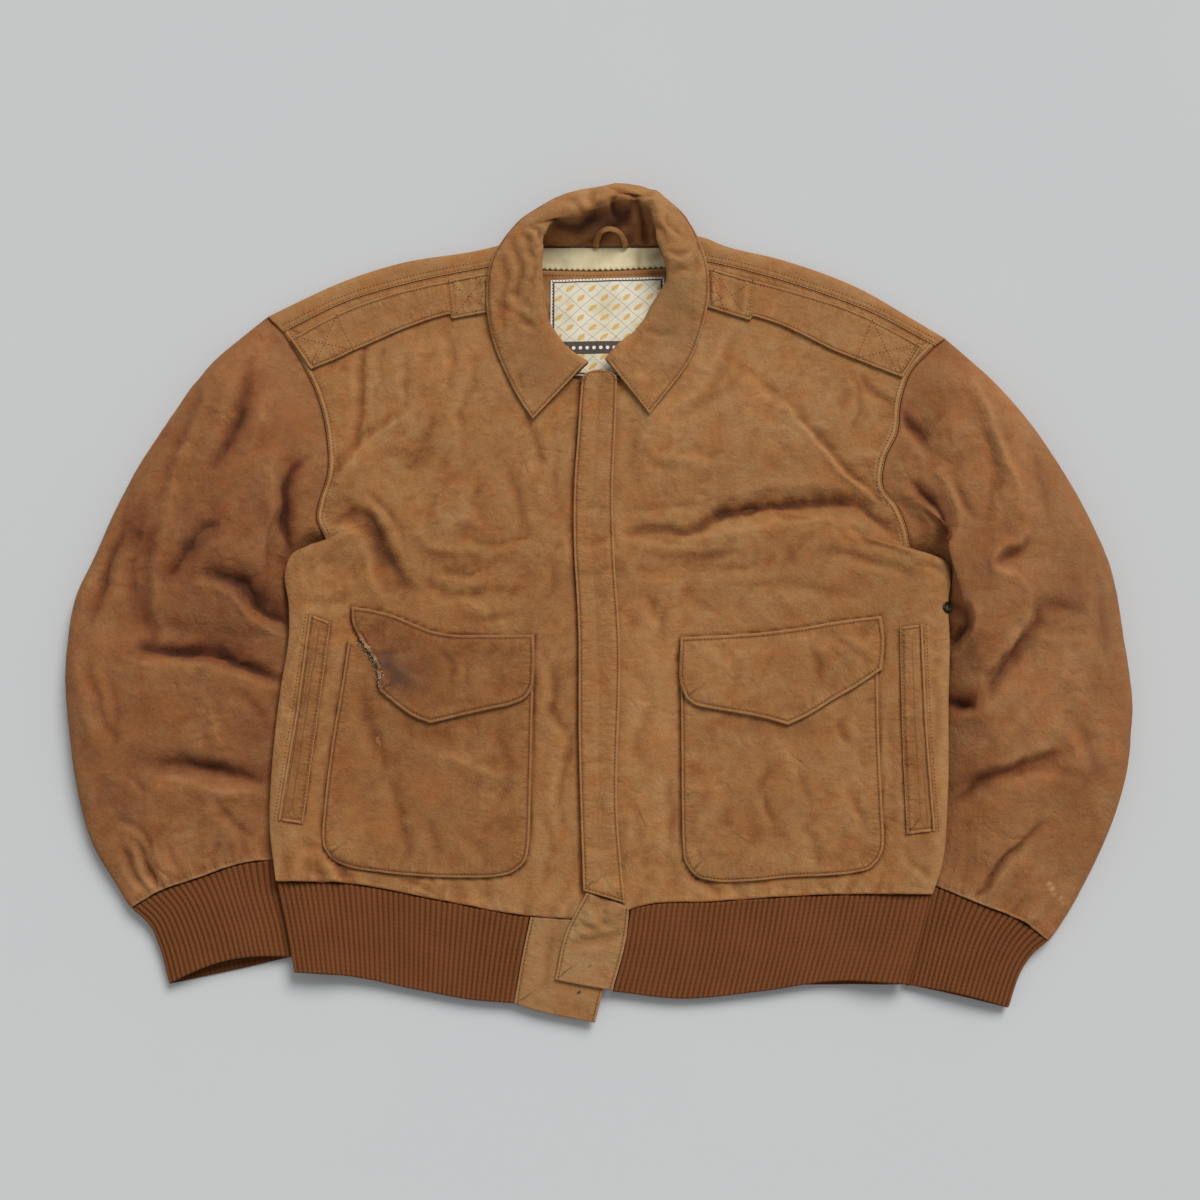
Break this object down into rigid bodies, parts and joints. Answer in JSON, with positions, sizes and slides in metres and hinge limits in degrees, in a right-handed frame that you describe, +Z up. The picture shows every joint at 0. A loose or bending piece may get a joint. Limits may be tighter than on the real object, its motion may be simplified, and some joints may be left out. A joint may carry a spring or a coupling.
{
  "type": "worn leather jacket",
  "caption": "Worn suede leather flight jacket, zipped up and laid flat on its back, with rib-knit cuffs and waistband, flapped patch pockets, shoulder straps and a turned-down collar.",
  "frame": {"origin": "on the floor under the middle of the laid-out jacket, at the middle of its box's underside", "axes": "+Z up off the floor, +Y from the waistband towards the collar, +X towards the wearer's left, which is the viewer's right as it lies face up"},
  "size_m": [0.9429, 0.761, 0.0393],
  "materials": {
    "body_suede": "worn nubuck suede, matte with rubbed patches",
    "sleeve_suede": "worn nubuck suede, matte, redder and more creased",
    "knit": "two-by-two rib knit, matte",
    "zip_tape": "woven tape, matte",
    "neck_tape": "stained woven tape, matte",
    "label": "printed satin label, matte",
    "dark_metal": "darkened metal, dull"
  },
  "bodies": {
    "root": {"back": "body_suede", "collar": "body_suede", "cuff_left": "knit", "cuff_right": "knit", "end_tab_left": "body_suede", "end_tab_right": "body_suede", "epaulette_left": "body_suede", "epaulette_right": "body_suede", "front_left": "body_suede", "front_right": "body_suede", "front_zip": "zip_tape", "hanger_loop": "body_suede", "neck_facing": "body_suede", "neck_label": "label", "neck_tape": "neck_tape", "pocket_flap_left": "body_suede", "pocket_flap_right": "body_suede", "pocket_left": "body_suede", "pocket_right": "body_suede", "sleeve_left": "sleeve_suede", "sleeve_right": "sleeve_suede", "underarm_eyelet": "dark_metal", "waistband": "knit", "welt_left": "body_suede", "welt_right": "body_suede", "wind_flap": "body_suede"}
  },
  "joints": []
}
